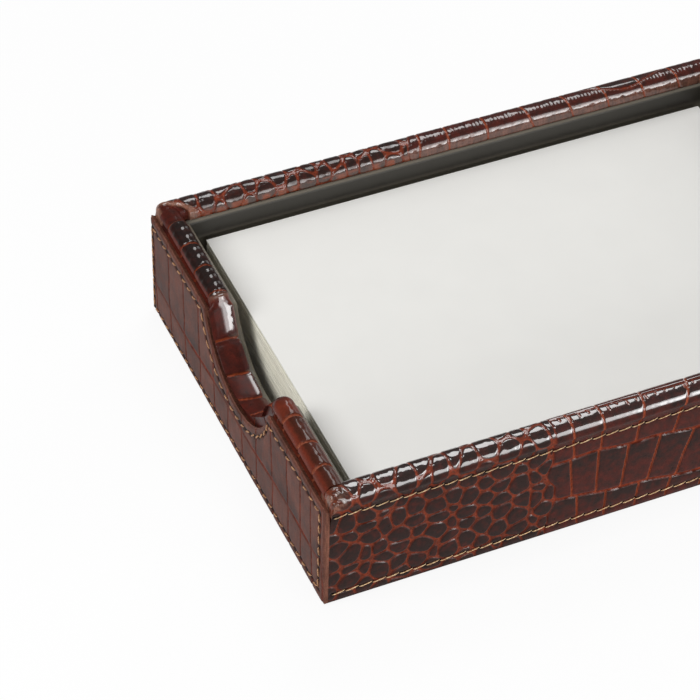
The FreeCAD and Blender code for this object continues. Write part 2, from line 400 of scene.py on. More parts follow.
class Paint:
    """A material under construction: nodes are added one by one round its main shader."""

    def __init__(self, name, **settings):
        self.material = bpy.data.materials.new(name)
        self.material.use_nodes = True
        self.nodes = self.material.node_tree.nodes
        self.links = self.material.node_tree.links
        self.surface = self.nodes["Principled BSDF"]
        for key, value in settings.items():
            self.set(key.replace("_", " "), value)
        self.place = self.node("TexCoord", {}, "Object")

    def feed(self, socket, value):
        if isinstance(value, bpy.types.NodeSocket):
            self.links.new(value, socket)
        else:
            socket.default_value = value

    def set(self, key, value):
        self.feed(self.surface.inputs[key], value)

    def finish(self, tint, rough, relief):
        """The material, with its colour, roughness and fine relief."""
        for key, value in (("Base Color", tint), ("Roughness", rough), ("Normal", relief)):
            self.set(key, value)
        return self.material

    def wire(self, node, inputs, output):
        """One output of a node, with its inputs set or linked."""
        for key, value in inputs.items():
            self.feed(node.inputs[key], value)
        return node.outputs[output]

    def node(self, kind, inputs, output):
        """One output of a new node that needs no settings."""
        return self.wire(self.nodes.new("ShaderNode" + kind), inputs, output)

    def value(self, name):
        """A number kept at the mesh's points."""
        node = self.nodes.new("ShaderNodeAttribute")
        node.attribute_name = name
        return node.outputs["Fac"]

    def noise(self, size, detail=2.0, stretch=(1, 1, 1)):
        """Noise with features of a size in millimetres."""
        place = self.node("Mapping", {"Vector": self.place, "Scale": stretch}, "Vector")
        return self.node("TexNoise", {"Vector": place, "Scale": 1 / (size * MM), "Detail": detail}, "Fac")

    def cells(self, size):
        """Distance to the edges of small cells of a size in millimetres."""
        node = self.nodes.new("ShaderNodeTexVoronoi")
        node.feature = "DISTANCE_TO_EDGE"
        return self.wire(node, {"Vector": self.place, "Scale": 1 / (size * MM)}, "Distance")

    def fit(self, value, low, high, to_low=0.0, to_high=1.0):
        """A number brought from one range to another."""
        inputs = {"Value": value, "From Min": low, "From Max": high, "To Min": to_low, "To Max": to_high}
        return self.node("MapRange", inputs, "Result")

    def vary(self, noise, low, high):
        """A noise brought to a range of numbers."""
        return self.fit(noise, NOISE_LOW, NOISE_HIGH, low, high)

    def maths(self, operation, first, second):
        node = self.nodes.new("ShaderNodeMath")
        node.operation = operation
        return self.wire(node, {0: first, 1: second}, "Value")

    def blend(self, share, first, second):
        """A colour between two others."""
        node = self.nodes.new("ShaderNodeMix")
        node.data_type = "RGBA"
        return self.wire(node, {"Factor": share, "A": first, "B": second}, "Result")

    def scale(self, tint, amount):
        """A colour made lighter or darker."""
        node = self.nodes.new("ShaderNodeVectorMath")
        node.operation = "SCALE"
        return self.wire(node, {"Vector": tint, "Scale": amount}, "Vector")

    def bump(self, height, depth, strength=1.0, below=None):
        """Fine relief of a depth in millimetres, over another relief if one is given."""
        inputs = {"Height": height, "Distance": depth * MM, "Strength": strength}
        if below is not None:
            inputs["Normal"] = below
        return self.node("Bump", inputs, "Normal")

    def show_white(self, share):
        """The camera, and mirrors, see this surface nearly white; its shadows stay."""
        rays = self.nodes.new("ShaderNodeLightPath").outputs
        seen = self.maths("MAXIMUM", rays["Is Camera Ray"], rays["Is Glossy Ray"])
        seen = self.maths("MAXIMUM", seen, rays["Is Transmission Ray"])
        glow = self.node("Emission", {}, "Emission")
        inputs = {"Fac": self.maths("MULTIPLY", seen, share), 1: self.surface.outputs["BSDF"], 2: glow}
        both = self.node("MixShader", inputs, "Shader")
        self.links.new(both, self.nodes["Material Output"].inputs["Surface"])


def colour(red, green, blue):
    """A colour written as screen numbers from 0 to 255."""
    parts = [c / 255 for c in (red, green, blue)]
    return tuple(c / 12.92 if c <= 0.04045 else ((c + 0.055) / 1.055) ** 2.4 for c in parts) + (1.0,)


RUST = colour(146, 70, 42)


def leather(name, scale_dark, scale_warm, groove, worn_and_reflected, shine, rough, stain):
    """Embossed leather: dark glazed scales, and grooves where the red dye shows."""
    paint = Paint(name, Specular_IOR_Level=shine, Coat_Roughness=0.08, Coat_IOR=1.9)
    depth, tone, wear, darkening_and_painted_shade, rust = (paint.value(key) for key in ("groove", "tone", "wear", "darkening_and_painted_shade", "rust"))
    mottle = paint.noise(2.2, 3.0)
    warmth = paint.fit(paint.maths("ADD", tone, paint.vary(mottle, -0.3, 0.3)), 0.0, 1.0)
    body = paint.blend(warmth, scale_dark, scale_warm)
    streak = paint.fit(paint.noise(1.3, 2.0), 0.35, 0.65)
    deep = tuple(0.5 * c for c in groove[:3]) + (1.0,)
    body = paint.blend(depth, body, paint.blend(streak, groove, deep))
    body = paint.blend(rust, body, RUST)
    fibres = paint.vary(paint.noise(0.6, 3.0, (1.0, 1.0, 0.15)), 0.65, 1.35)
    share = paint.maths("MULTIPLY", wear, paint.fit(mottle, 0.3, 0.6, 0.55, 1.0))
    # Worn leather colour, also used as a pale painted reflection on the back roll's inner side
    body = paint.blend(share, body, paint.scale(worn_and_reflected[:3], fibres))
    # Painted shade: near-black in the needle slots, in the crevice under the left rim and over the top of its
    # front part; the same also darkens the left rim's own near-black back part
    body = paint.blend(darkening_and_painted_shade, body, colour(20, 12, 10))
    speckle = paint.vary(paint.noise(0.4, 2.0), 0.82, 1.18)
    blotch = paint.vary(paint.noise(6.0, 4.0), 1 - stain, 1 + stain)
    streaks = paint.vary(paint.noise(1.0, 3.0, (1.0, 1.0, 0.2)), 1 - 0.6 * stain, 1 + 0.6 * stain)
    shade = paint.maths("MULTIPLY", speckle, paint.maths("MULTIPLY", blotch, streaks))
    smoothness = paint.vary(mottle, rough - 0.05, rough + 0.05)
    roughness = paint.fit(depth, 0.0, 1.0, smoothness, rough + 0.2)
    paint.set("Coat Weight", paint.value("gloss"))
    grain = paint.bump(paint.cells(0.35), 0.02, 0.2)
    relief = paint.bump(paint.noise(0.7, 3.0), 0.05, 0.22, grain)
    return paint.finish(paint.scale(body, shade), roughness, relief)


# Painted light: the lining is made lighter beside the sheets, where the gap lies in shade, up to a soft line
# about as high as the top sheet
PAINTED_LIGHT_BELOW, PAINTED_LIGHT_ABOVE = 1.5, 0.8


def lining_leather(name, dark, light, standing=True):
    """Smooth charcoal lining with a fine grain. A standing panel has painted light: lighter on its faces that
    look up, along its top edge, and on its lower part beside the sheets."""
    paint = Paint(name, Specular_IOR_Level=0.4)
    mottle = paint.noise(4.0, 4.0)
    body = paint.blend(mottle, dark, light)
    if standing:
        facing = paint.node("NewGeometry", {}, "Normal")
        # Painted light: faces that look up are made lighter
        painted_light_on_top = paint.fit(paint.node("SeparateXYZ", {0: facing}, "Z"), 0.5, 0.8, 0.0, 0.65)
        body = paint.blend(painted_light_on_top, body, colour(124, 117, 104))
        height = paint.node("SeparateXYZ", {0: paint.place}, "Z")
        low, high = (sheet_high[2] - PAINTED_LIGHT_BELOW) * MM, (sheet_high[2] + PAINTED_LIGHT_ABOVE) * MM
        # Painted light: lighter below the height of the top sheet, where the gap would be in shadow
        painted_light_below_sheets = paint.fit(height, low, high, 0.9, 0.0)
        body = paint.blend(painted_light_below_sheets, body, colour(116, 110, 98))
    grain = paint.bump(paint.noise(0.25, 2.0), 0.02, 0.3)
    relief = paint.bump(paint.cells(0.6), 0.04, 0.35, grain)
    return paint.finish(body, paint.vary(mottle, 0.42, 0.55), relief)


def fibrous(name, dark, light, noise, rough, relief, **settings):
    """Pressed board or felt: fibres of two colours, with their roughness and fine relief."""
    paint = Paint(name, **settings)
    fibres = paint.noise(*noise)
    body = paint.blend(fibres, dark, light)
    return paint.finish(body, paint.vary(fibres, *rough), paint.bump(fibres, *relief))


def thread(name, light, dark):
    """Waxed tan thread, darker where its plies meet."""
    paint = Paint(name, Specular_IOR_Level=0.4)
    plies = paint.noise(0.4, 3.0, (0.6, 0.6, 1.0))
    body = paint.blend(paint.fit(plies, 0.35, 0.65), dark, light)
    return paint.finish(body, paint.vary(plies, 0.45, 0.65), paint.bump(paint.noise(0.12, 3.0), 0.03, 0.6))


def paper(name, light, shade):
    """Uncoated card with a faint tooth."""
    paint = Paint(name, Specular_IOR_Level=0.3)
    tooth = paint.noise(0.5, 5.0)
    body = paint.blend(paint.vary(paint.noise(14.0, 3.0), 0.0, 1.0), light, shade)
    return paint.finish(body, paint.vary(tooth, 0.72, 0.85), paint.bump(tooth, 0.01, 0.3))


# Leather-covered walls

def bent_section(start_up, arcs, outer_bottom, inner_bottom, hidden_bottom):
    """Section of a wall's leather: up the outer face, through arcs over the rim and down the inner face.
    An arc has a radius and the angles that the leather faces, up from the outer side.
    Gives how far in and how high each point is, which way it faces, and its place along the leather."""
    place_in, place_up = 0.0, start_up
    start = spaced(outer_bottom, place_up, STEP)[:-1]
    inward, height, turn = [0 * start], [start], [0 * start]
    for radius, begin, end in arcs:
        angles = spaced(begin, end, STEP / radius)[:-1]
        bend = radius if end > begin else -radius
        inward.append(place_in + bend * (math.cos(begin) - np.cos(angles)))
        height.append(place_up + bend * (np.sin(angles) - math.sin(begin)))
        turn.append(angles)
        place_in += bend * (math.cos(begin) - math.cos(end))
        place_up += bend * (math.sin(end) - math.sin(begin))
    fall = np.append(spaced(place_up, inner_bottom, STEP), hidden_bottom)
    inward.append(place_in + 0 * fall)
    height.append(fall)
    turn.append(math.pi + 0 * fall)
    inward, height, turn = (np.concatenate(part) for part in (inward, height, turn))
    along = np.concatenate([[0], np.cumsum(np.hypot(np.diff(inward), np.diff(height)))])
    return inward, height, turn, along


# Where the pebbles end and the belly scales begin, and how much the scales are stretched over the roll
HIDE_SPLIT_FRONT = -25.5
HIDE_SPLIT_BACK = -14.0
ROLL_STRETCH = 0.62

# Relief: half-widths of the grooves, their depth and the rise of the scales, with how much less both are on
# the roll, the tiny scales, and the grain on the roll
BELLY_GROOVE, PEBBLE_GROOVE = 0.5, 0.37
GROOVE_DEPTH, GROOVE_LESS = 0.34, 0.14
SCALE_RISE, SCALE_LESS = 0.12, 0.05
FILLER_RISE, FILLER_SHUT = 0.14, 0.75
BELLY_GRAIN, PEBBLE_GRAIN = 0.006, 0.03
ROLL_START = 2.0
ROLL_SINK = 0.06
HEM = 1.2

# Size of a needle slot along and across its seam, and how deep the seam and its slots lie
FACE_SLOT, FACE_PULL, FACE_HOLE = (0.45, 0.4), 0.12, 0.25
PANEL_SLOT, PANEL_PULL, PANEL_HOLE = (1.1, 0.6), 0.1, 0.22

# Polish of the rolls, the angle at which it starts and over how much, the dullness of the grooves, and the
# faint polish of the scales' upper edges on the face
ROLL_GLOSS = {-1: 1.0, 1: 0.85}
POLISH_START = (16.0, 9.0)
GROOVE_DULL = 0.5
FACE_GLINT = 0.34

# The rolls are a little flattened, the front one on its crest and outer side, the back one on its crest and
# inner side: angle, flatness and tilt. Then the share of it on pebbles, and how the flats meet.
ROLL_FLATS = {-1: ((86.0, 1.0, 0.0), (29.0, 0.65, 0.0)), 1: ((98.0, 0.65, 0.0), (138.0, 0.9, 0.6))}
PEBBLE_FLAT = {-1: 0.7, 1: 0.5}
FLAT_SHARP, FLAT_TOP, FLAT_SINK = 18.0, 0.3, 0.1

# Groove that ends the belly scales along the front roll: its angles where it starts and further on, and
# how far it takes to get there
RIM_GROOVE = (math.radians(114.0), math.radians(99.0))
RIM_GROOVE_RUN = 33.0
RIM_GROOVE_SHARP = 1.5

# On the back roll that groove lies behind the crest, and one scale bulges forward over it: the groove's
# angles away from the scale and at its middle, and where the scale is
BULGE_ANGLES = (math.radians(45.0), math.radians(124.0))
BULGE_AT = 54.5
BULGE_REACH = 16.5

# Creases over the rolls: how far apart, how deep, how much of the dye shows, how far they start beyond the
# crest or the groove, and the least, the spread and the evenness of their lengths
CREASE_PITCH = {-1: 2.7, 1: 1.1}
CREASE_DEPTH = {-1: 0.18, 1: 0.07}
CREASE_DYE = {-1: 1.0, 1: 0.0}
CREASE_START = {-1: 0.3, 1: 3.0}
CREASE_LENGTH = {-1: (0.9, 2.1, 1.0), 1: (-0.6, 4.2, 2.5)}

# Size of the pebbles on the front and back walls
PEBBLE_SIZE = {-1: 0.88, 1: 0.8}

# Gaps between the upright grooves of the three rows of belly scales, from the lowest row
BELLY_GAPS = ((8.3, 8.0, 9.7, 9.4, 10.2), (5.4, 7.1, 7.7, 8.5, 9.1, 9.8), (4.9, 8.0, 10.6, 11.4))

# How far the first belly scales reach in under the pebbles
BELLY_LEAD = 5.0

# Level grooves between the rows: height, where they start to fall and how steeply, and the length and start
# of their slight wave. Then for how long they fall, and the wave's height.
LEVEL_GROOVES = ((11.5, 0.0, 0.12, 3.4, 1.0), (25.4, 14.0, 0.08, 3.1, 0.0))
LEVEL_FALL = 45.0
LEVEL_WAVE = 0.3
TOP_ROW = 20.0

# Lean of the upright grooves: where they stand upright, how fast they lean from there, and the limits
LEAN_FROM, LEAN_RATE, LEAN_LIMITS = 16.0, 0.010, (-0.2, 0.25)

# Cut ends of the back wall's leather: how far from the corner it ends, at the back and on the inside of
# the roll, and how far it lies above the leather under it
CUT_BACK = 0.6
CUT_INSIDE = 8.0
CUT_STEP = 0.8
CUT_TURN = (0.5, 2.4)

# Inner side of the back roll, by angle and width of change: dull from and to, pale painted reflection from,
# and raw at its foot
DULL_FROM, DULL_TO = (106.0, 6.0), (158.0, 12.0)
PAINTED_REFLECTION_FROM = (140.0, 12.0)
RAW_FROM = (163.0, 6.0)

# How far from the corners the front roll's leather is wrinkled, and how deeply
CORNER_FOLD = 7.0
WRINKLE_DEPTH = 0.27


def face_hide(u, v, split_at, size, seed):
    """Pattern of a long wall's leather: pebbles up to a line, then rows of belly scales. On the roll
    the scales are longer over the rim. Gives the distance to a groove, a number for each scale, where
    the belly scales are, how high in its row each point lies, where tiny scales fill a gap, and where the
    grooves are brightest."""
    drift = u - split_at
    over = np.maximum(v - SEAM_HEIGHTS[0], 0.0)
    sway = 0.7 * soft_noise(u, v, 7.0, seed + 5)
    across = v - (1 - ROLL_STRETCH) * over + sway
    small, small_number, filler = filled_pebbles((u + sway) / size, across / size, seed)
    small = size * small
    lower, upper = (
        begin - slope * np.clip(drift - start, 0.0, LEVEL_FALL) + LEVEL_WAVE * np.sin(u / wave + phase)
        for begin, start, slope, wave, phase in LEVEL_GROOVES
    )
    rows = [
        groove_places(split_at - BELLY_LEAD, PANEL_X + 20, (gaps[0] + BELLY_LEAD,) + gaps[1:], seed + k)
        for k, gaps in enumerate(BELLY_GAPS, 1)
    ]
    lean = np.clip((drift - LEAN_FROM) * LEAN_RATE, *LEAN_LIMITS)
    large, large_number, upright = belly(u + 0.3 * sway, v, [lower, upper], rows, lean)
    gap = drift - 2.4 * soft_noise(0.3 * u, v, 5.5, seed + 4)
    right = gap > 0
    edge = soft_least(PEBBLE_ROUND, np.where(right, large, small), np.abs(gap) + 0.15)
    in_row = np.where(v > upper, v - upper, np.where(v > lower, v - lower, v))
    height_in_row = in_row / np.where(v > upper, TOP_ROW, np.where(v > lower, upper - lower, lower))
    number = np.where(right, large_number, small_number)
    bright = np.where(right, 0.75 * smooth(1.3 - upright / 0.3), 0.15 * smooth(1.0 - edge / 0.3))
    return edge, number, right, height_in_row, np.where(right, 0.0, filler), bright


def rim_groove(u, side, split_at):
    """Angle round a roll at which the belly scales of a wall's face end."""
    if side < 0:
        gone = np.clip((u - split_at) / RIM_GROOVE_RUN, 0.0, 1.0)
        return RIM_GROOVE[0] + gone * (RIM_GROOVE[1] - RIM_GROOVE[0])
    bulge = smooth(1.0 - np.abs(u - BULGE_AT) / BULGE_REACH)
    return BULGE_ANGLES[0] + bulge * (BULGE_ANGLES[1] - BULGE_ANGLES[0])


def crest_creases(u, past, side, seed):
    """Short creases that run down from a line along a roll, from 0 to 1."""
    places = groove_places(u.min() - 3, u.max() + 3, (CREASE_PITCH[side],), seed)
    least, spread, evenness = CREASE_LENGTH[side]
    lengths = least + spread * np.random.default_rng(seed + 1).random(len(places) + 1) ** evenness
    index, before, after = between_grooves(places, u)
    length = np.where(before < after, lengths[index - 1], lengths[index])
    reach = smooth((past + length) / 0.8) * fade(past, CREASE_START[side], 0.8)
    return reach * smooth(1.0 - np.minimum(before, after) / 0.4)


def front_roll(wall, look):
    """The front roll's own look: warmer beyond its groove, and wrinkled and worn at the folded corners."""
    fold = smooth(1.0 - wall.end_gap / CORNER_FOLD) * wall.over
    wrinkle = soft_noise(wall.u + 0.7 * wall.v, wall.v, 0.9, wall.seed + 8)
    wrinkle = wrinkle + 0.6 * soft_noise(2 * wall.u, 0.4 * wall.v, 0.7, wall.seed + 10)
    look.rise += WRINKLE_DEPTH * fold * wrinkle
    look.tone += 0.5 * wall.beyond
    look.wear = 0.85 * fold * smooth(0.45 + 1.2 * wrinkle)
    look.gloss *= 1 - 0.65 * fold
    look.rust = np.maximum(look.rust, 0.45 * fold * smooth(-1.5 * wrinkle))


def back_roll(wall, look):
    """The back roll's own look: cut short at its ends, dull inside with a pale painted reflection low down,
    and red at the bulging scale.
    """
    over, right = wall.over, wall.right
    inside = ramp(wall.turn, *CUT_TURN)
    past_cut = CUT_BACK + (CUT_INSIDE - CUT_BACK) * inside - wall.end_gap
    under = smooth(past_cut / 0.35) * over
    dull = ramp(wall.degrees, *DULL_FROM) * fade(wall.degrees, *DULL_TO)
    # Painted reflection: low on the inner side the colour turns paler, as the white sheets would be reflected
    # there
    worn_and_reflected = ramp(wall.degrees, *PAINTED_REFLECTION_FROM) * over
    uneven = over * right * (1 - dull) * (1 - wall.beyond)
    look.rise -= CUT_STEP * under
    look.rise += 0.04 * uneven * soft_noise(1.6 * wall.u, 0.7 * wall.v, 1.2, wall.seed + 12)
    cut_edge = np.maximum(ramp(past_cut, -2.2, 0.3) * (1 - under), fade(wall.end_gap, 1.0, 0.5)) * over
    worn_and_reflected = worn_and_reflected * np.where(right, 0.45, 0.2) * (1 - under) * (1 - look.groove)
    look.wear = np.maximum(cut_edge, worn_and_reflected)
    look.groove *= 1 - under
    look.tone += 0.35 * over * right * (1 - 0.6 * wall.beyond)
    look.tone += (0.6 - look.tone) * under
    look.gloss = look.gloss * (0.8 - 0.35 * dull) * (1 - 0.97 * under)
    lip = ramp(wall.groove_turn, BULGE_ANGLES[0], 0.4) * smooth(1.0 - np.abs(wall.apart - 0.4) / 0.6)
    look.rust = np.maximum(look.rust, 0.5 * lip * over * right * wall.patches)
    raw = ramp(wall.degrees, *RAW_FROM) * smooth(2.4 * wall.patches - 0.6) * (1 - right) * (1 - under)
    look.rust = np.maximum(look.rust, 0.75 * raw)


def long_wall(name, side, split_at, seed, material):
    """Front (-1) or back (1) wall's leather, with its seams and its folded ends."""
    swing = math.acos(1 - ROLL_PROUD / (ROLL_R + DRAWN_R))
    arcs = [(DRAWN_R, 0.0, -swing), (ROLL_R, -swing, math.pi + swing), (DRAWN_R, math.pi + swing, math.pi)]
    start_up = ROLL_Z - (ROLL_R + DRAWN_R) * math.sin(swing)
    inward, height, turn, along = bent_section(start_up, arcs, WALL_BOTTOM, start_up - 1.0, WALL_BOTTOM)
    crest = along[np.argmin(np.abs(turn - math.pi / 2))]
    u, v = np.meshgrid(spaced(-PANEL_X, PANEL_X, STEP), along, indexing="ij")
    inward, height, turn = (part[None] + 0 * u for part in (inward, height, turn))
    degrees = np.degrees(turn)
    over = ramp(height, start_up, ROLL_START)
    end_gap = PANEL_X - np.abs(u)

    # Scales, the groove along the roll, creases and grain
    edge, number, right, in_row, filler, rust = face_hide(u, v, split_at, PEBBLE_SIZE[side], seed)
    groove_turn = rim_groove(u, side, split_at)
    rim_line = crest + ROLL_R * (groove_turn - math.pi / 2)
    apart = (v - rim_line) / np.hypot(1.0, np.gradient(rim_line, axis=0) / STEP)
    beyond = right * over * smooth(-side * apart / 0.4)
    edge = np.where(right, np.minimum(edge, RIM_GROOVE_SHARP * np.abs(apart)), edge)
    half_width = np.where(right, BELLY_GROOVE, PEBBLE_GROOVE)
    rise, groove = emboss(edge, half_width, GROOVE_DEPTH - GROOVE_LESS * over, SCALE_RISE - SCALE_LESS * over)
    rise = rise + FILLER_RISE * filler - ROLL_SINK * over
    groove = groove * (1 - FILLER_SHUT * filler)
    crease_from = rim_line if side < 0 else crest
    crease = crest_creases(u, v - crease_from, side, seed + 9) * over * right * (1 - beyond)
    grain = np.where(right, BELLY_GRAIN, PEBBLE_GRAIN) * over * soft_noise(u, v, 0.9, seed + 7)
    rise = rise + grain * (1 - groove) - CREASE_DEPTH[side] * crease

    # Polish of the roll, and of the scales' upper edges below it
    upper_edge = smooth(-np.gradient(rise, axis=1) / STEP / 0.5)
    patches = 0.5 + 0.5 * soft_noise(u, v, 2.2, seed + 6)
    broken = 1 - 0.4 * (side > 0) * smooth(2.5 * patches - 0.9) * (1 - right)
    polish = ramp(degrees, *POLISH_START) * (1 - GROOVE_DULL * np.maximum(groove, crease))
    gloss = ROLL_GLOSS[side] * polish * broken + (1 - polish) * FACE_GLINT * upper_edge * patches ** 3

    # Seams, flats of the roll and what is its own
    base = np.stack([u, side * (FACE_Y - inward), height], axis=-1)
    facing = np.stack([0 * u, side * np.cos(turn), np.sin(turn)], axis=-1)
    darkening_and_painted_shade, pull = hole_depth(base, [row for z in SEAM_HEIGHTS for row in face_seam(side, z)], *FACE_SLOT)
    hem = ramp(height, WALL_BOTTOM, HEM)
    rise = rise * hem - FACE_PULL * pull - FACE_HOLE * darkening_and_painted_shade
    flats = []
    for angle, flatness, tilt in ROLL_FLATS[side]:
        away = turn - math.radians(angle)
        flats.append(flatness * away ** 2 - tilt * away)
    flattened = soft_least(FLAT_SHARP, *flats, FLAT_TOP + 0 * turn) - FLAT_SINK
    rise = rise + flattened * np.where(right, 1.0, PEBBLE_FLAT[side]) * over
    tone = np.where(right, 0.36 * smooth(1.6 * (0.95 - in_row)) + 0.08 * number, 0.1 * number)
    wall = SimpleNamespace(
        u=u, v=v, turn=turn, degrees=degrees, over=over, right=right, beyond=beyond, end_gap=end_gap,
        groove_turn=groove_turn, apart=apart, patches=patches, seed=seed,
    )
    look = SimpleNamespace(rise=rise, groove=groove, tone=tone, gloss=gloss, rust=rust)
    if side < 0:
        front_roll(wall, look)
    else:
        back_roll(wall, look)

    # The roll droops at its rounded ends
    points = base + look.rise[..., None] * facing
    cut_in = np.maximum(ROLL_END_R - end_gap, 0.0)
    droop = ROLL_END_R - np.sqrt(np.maximum(ROLL_END_R ** 2 - cut_in ** 2, 0.0))
    points[..., 2] -= droop * over
    values = {
        "groove": np.maximum(look.groove, 0.8 * CREASE_DYE[side] * crease) * hem,
        "tone": look.tone,
        "wear": look.wear,
        # Painted shade: the needle slots are made near-black
        "darkening_and_painted_shade": darkening_and_painted_shade,
        "gloss": look.gloss,
        "rust": np.maximum(look.rust, 0.6 * CREASE_DYE[side] * crease) * hem,
    }
    values = {key: with_ends(field) for key, field in values.items()}
    make_piece(name, *loft(points), material, "croc_leather", values=values)


# Left rim, by distance from its back end: its grooves, where it comes out from under the back wall's leather,
# where its dark part ends and where its front part begins
LEFT_GROOVES = np.array([
    -4.0, 6.5, 15.8, 25.9, 36.2, 50.3, 59.8, 68.4, 77.0, 86.5, 95.6, 104.7, 114.6, 123.7, 134.0,
])
LEFT_TUCK = 6.0
LEFT_DARK_END = 38.0
LEFT_FRONT = 96.0

# In the notch the rim is flatter, most so beyond its first corner, wider, and nearly straight between grooves
NOTCH_FLAT, NOTCH_FLAT_BEYOND = 0.6, 0.25
NOTCH_SPREAD_OUT = 1.4
NOTCH_SPREAD_IN = 0.5
FACET, FACET_END = 0.9, 0.1

# How far the rim's sides go down, and the crevice where the end panel meets it, also painted dark as shade
SKIRT = 6.5
CREVICE_DROP, CREVICE_WIDTH, CREVICE_DEPTH = 4.0, 0.7, 0.8


def notched_line(top, end_y, notch_r, corner_r, corner_step):
    """Line along the top of the left end, from the back, down into the notch and up again over two rounded
    corners: the places, heights and facings of its five legs."""
    corner_z = top - corner_r
    reach = math.sqrt((notch_r + corner_r) ** 2 - (corner_z - NOTCH_Z) ** 2)
    turn = math.atan2(corner_z - NOTCH_Z, reach)
    quarter = math.pi / 2

    def straight(y):
        return y, top + 0 * y, quarter + 0 * y

    def arc(y, z, radius, begin, end, step):
        angles = spaced(begin, end, step / radius)[:-1]
        return y + radius * np.cos(angles), z + radius * np.sin(angles), angles

    hollow_y, hollow_z, angles = arc(NOTCH_Y, NOTCH_Z, notch_r, turn, -math.pi - turn, STEP)
    return [
        straight(spaced(end_y, NOTCH_Y + reach, STEP)[:-1]),
        arc(NOTCH_Y + reach, corner_z, corner_r, quarter, math.pi + turn, corner_step),
        (hollow_y, hollow_z, angles + math.pi),
        arc(NOTCH_Y - reach, corner_z, corner_r, -turn, quarter, corner_step),
        straight(spaced(NOTCH_Y - reach, -end_y, STEP)),
    ]


def notch_path(top):
    """Crest line of the left end, from the back: places, facings and distance along it, and how deep
    the leather's sides may go under it before they would meet in the corners."""
    legs = notched_line(top, LAP_Y, NOTCH_R, NOTCH_CORNER_R, STEP)
    y, z, facing = (np.concatenate(part) for part in zip(*legs))
    along = np.concatenate([[0], np.cumsum(np.hypot(np.diff(y), np.diff(z)))])
    for start, end in zip(LEFT_GROOVES[:-1], LEFT_GROOVES[1:]):
        if LEFT_DARK_END - 3 < start and end < LEFT_FRONT:
            part = (along >= start) & (along <= end)
            share = (along[part] - start) / (end - start)
            first, last = np.flatnonzero(part)[[0, -1]]
            level = FACET * smooth(np.minimum(share, 1 - share) / FACET_END)
            for line in (y, z, facing):
                flat = line[first] + (line[last] - line[first]) * share
                if line is facing:
                    flat = 0 * share + (line[first] + line[last]) / 2
                line[part] += level * (flat - line[part])
    ends = np.cumsum([len(leg[0]) for leg in legs])
    corners = [(along[ends[0]], along[ends[1]]), (along[ends[2]], along[ends[3]])]
    outside = [np.maximum(np.maximum(a - along, along - b), 0.0) for a, b in corners]
    depth = NOTCH_CORNER_R - 0.15 + np.minimum(*outside)
    return y, z, facing, along, depth


def plain_path(top):
    """Crest line of the right end."""
    y = spaced(LAP_Y, -LAP_Y, STEP)
    return y, top + 0 * y, math.pi / 2 + 0 * y, LAP_Y - y, 99.0 + 0 * y


def end_look(wall, groove, number):
    """Looks of an end wall's leather: red in its grooves, dark behind the notch, polished in it and worn in
    front of it, with painted shade in the crevice beside the panel and over the top of its front part."""
    over, dark, tuck, front, in_notch = wall.over, wall.dark, wall.tuck, wall.front, wall.in_notch
    strip = dark * fade(np.sin(wall.turn), 0.55, 0.2) * wall.outer
    rounded = ramp(wall.degrees, 42.0, 24.0) * fade(wall.degrees, 150.0, 25.0)
    # Painted shade: the rounded top and inner side of the rim's front part are darkened, by the angle round
    # the roll
    painted_front_shade = smooth((wall.u - LEFT_FRONT - 5.0) / 4.0) * rounded
    polish = smooth((wall.degrees - 50.0 - 30.0 * in_notch - 34.0 * wall.beyond - 20.0 * front) / 12.0)
    inside = smooth((wall.degrees - 98.0 - 4.0 * front) / 10.0)
    polish = polish * (1 - (1 - in_notch) * 0.85 * inside)
    inner_line = in_notch * np.exp(-((wall.up + 0.75) / 0.22) ** 2) * wall.inner
    in_groove = (0.8 + 0.2 * front) * ramp(groove, 0.4, 0.5)
    # Own near-black of the dark back part, and painted shade over the front part's top, for the tone and the
    # darkening
    dark_and_painted_shade = np.maximum(dark, 0.9 * painted_front_shade)
    shade = (0.5 * dark * over + 0.3 * painted_front_shade) * (1 - groove)
    return {
        "rust": np.maximum(in_groove, 0.7 * inner_line + 0.2 * front) * (1 - tuck),
        "groove": np.maximum(groove * (1 - tuck), 0.2 * strip),
        "tone": (0.45 + 0.15 * number + 0.45 * front) * (1 - dark_and_painted_shade) + strip,
        "wear": np.maximum(0.8 * wall.corner, 0.4 * front * ramp(groove, 0.5, 0.4)),
        # Painted shade in the crevice and over the front part's top, and the near-black of the dark back part
        "darkening_and_painted_shade": np.maximum((0.5 + 0.25 * front) * wall.crevice, shade),
        "gloss": (0.02 + 0.78 * polish) * (1 - 0.97 * tuck) * (1 - 0.72 * front) * (1 - 0.4 * dark),
    }


